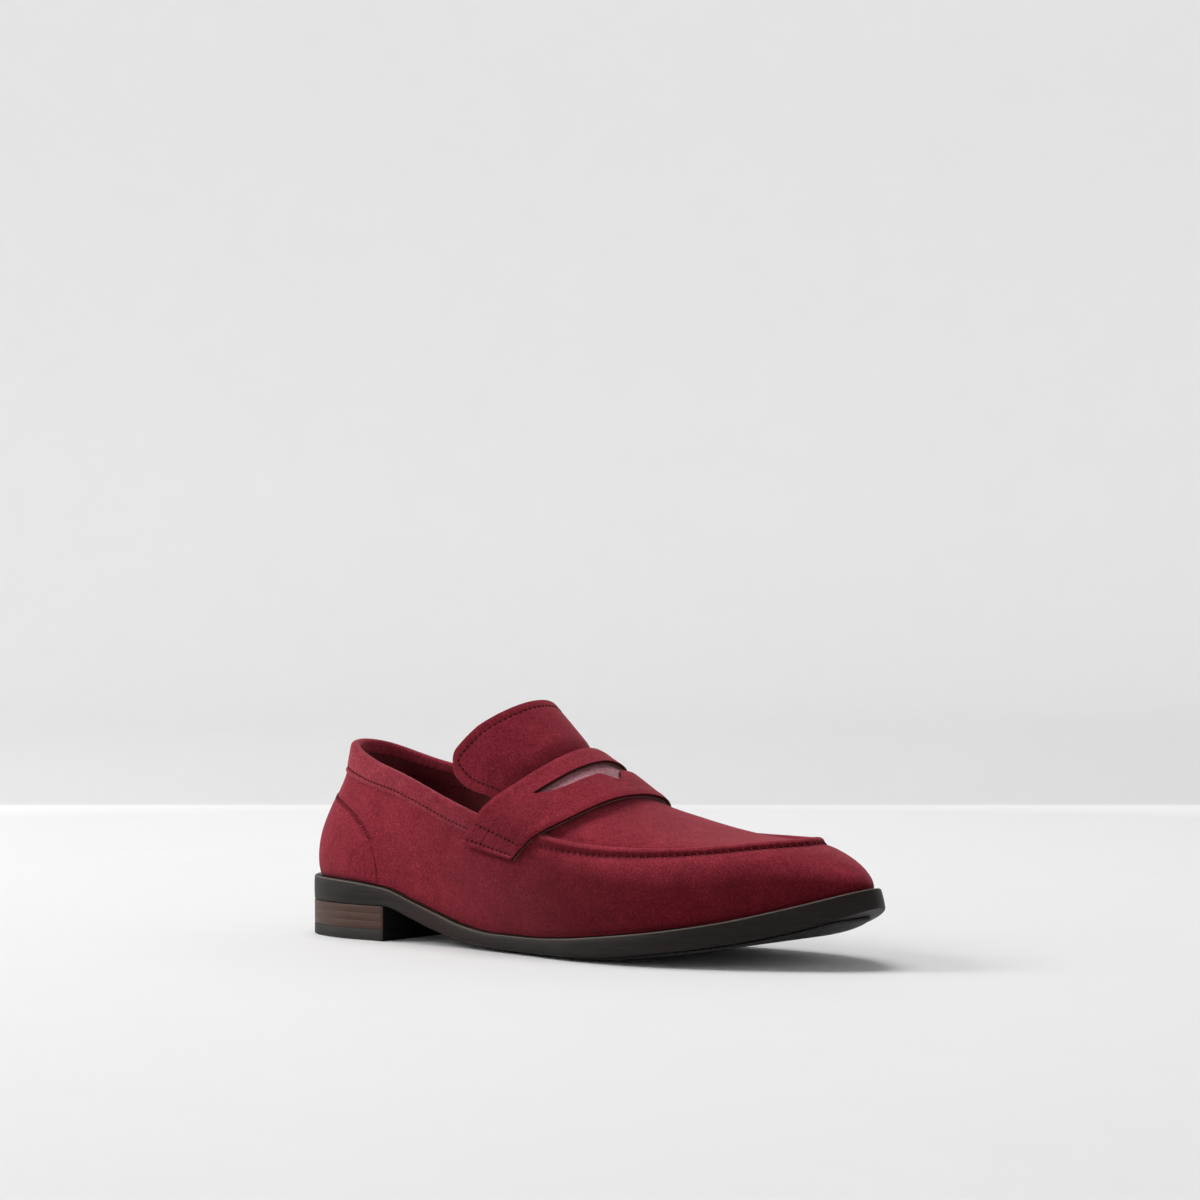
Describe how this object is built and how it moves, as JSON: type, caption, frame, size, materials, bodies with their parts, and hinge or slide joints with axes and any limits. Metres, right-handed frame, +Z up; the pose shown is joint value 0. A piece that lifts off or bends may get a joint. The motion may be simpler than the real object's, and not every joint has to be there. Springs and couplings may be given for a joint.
{
  "type": "penny loafer",
  "caption": "Suede penny loafer for the right foot: moccasin apron with raised seam, slotted saddle strap over a tall arched tongue, stacked low heel and thin rubber forefoot tread.",
  "frame": {"origin": "middle of the shoe's bounding box, on the ground under the sole", "axes": "+X from the heel to the toe, -Y the outer side of the foot, +Z up"},
  "size_m": [0.2982, 0.099, 0.1076],
  "materials": {
    "burgundy_suede": "brushed suede nap",
    "burgundy_suede_trim": "brushed suede nap",
    "burgundy_lining": "smooth matte lining leather",
    "pink_leather": "fine pebbled leather",
    "sole_edge": "waxed and burnished edge",
    "stacked_leather": "waxed stacked leather",
    "rubber": "moulded matte rubber",
    "thread": "twisted thread",
    "fibre_board": "pressed fibre board",
    "cork": "granulated cork",
    "foam": "soft open-cell foam",
    "stiffener": "stiffened non-woven sheet",
    "steel": "plain steel"
  },
  "bodies": {
    "shoe": {"apron": "burgundy_suede", "collar_band": "burgundy_suede_trim", "collar_foam": "foam", "collar_stitching": "thread", "cork_filler": "cork", "counter_stiffener": "stiffener", "counter_stitching": "thread", "forefoot_tread": "rubber", "heel_counter_cover": "burgundy_suede", "heel_lift_1": "stacked_leather", "heel_lift_2": "stacked_leather", "heel_lift_3": "stacked_leather", "heel_nail_1": "steel", "heel_nail_2": "steel", "heel_nail_3": "steel", "heel_nail_4": "steel", "heel_nail_5": "steel", "heel_pad": "foam", "insole_board": "fibre_board", "moc_seam_bead": "burgundy_suede_trim", "outsole": "sole_edge", "penny_slot_underlay": "pink_leather", "quarter_lining": "burgundy_lining", "saddle_strap": "burgundy_suede", "shank": "steel", "sock_liner": "burgundy_lining", "strap_backing": "stacked_leather", "strap_stitching_inner": "thread", "strap_stitching_outer": "thread", "toe_puff": "stiffener", "top_piece": "rubber", "upper_skirt": "burgundy_suede", "vamp_lining": "burgundy_lining"},
    "tongue_flap": {"tongue": "burgundy_suede", "tongue_lining": "burgundy_lining", "tongue_stitching": "thread"}
  },
  "joints": [
    {"name": "tongue_lift", "type": "hinge", "parent": "shoe", "child": "tongue_flap", "pos_m": [-0.00105, 0.00101, 0.078], "axis": [0, 1, 0], "range_deg": [-6, 30], "stiffness_Nm_per_rad": 0.06, "deforming": ["tongue", "tongue_lining", "tongue_stitching"]}
  ]
}
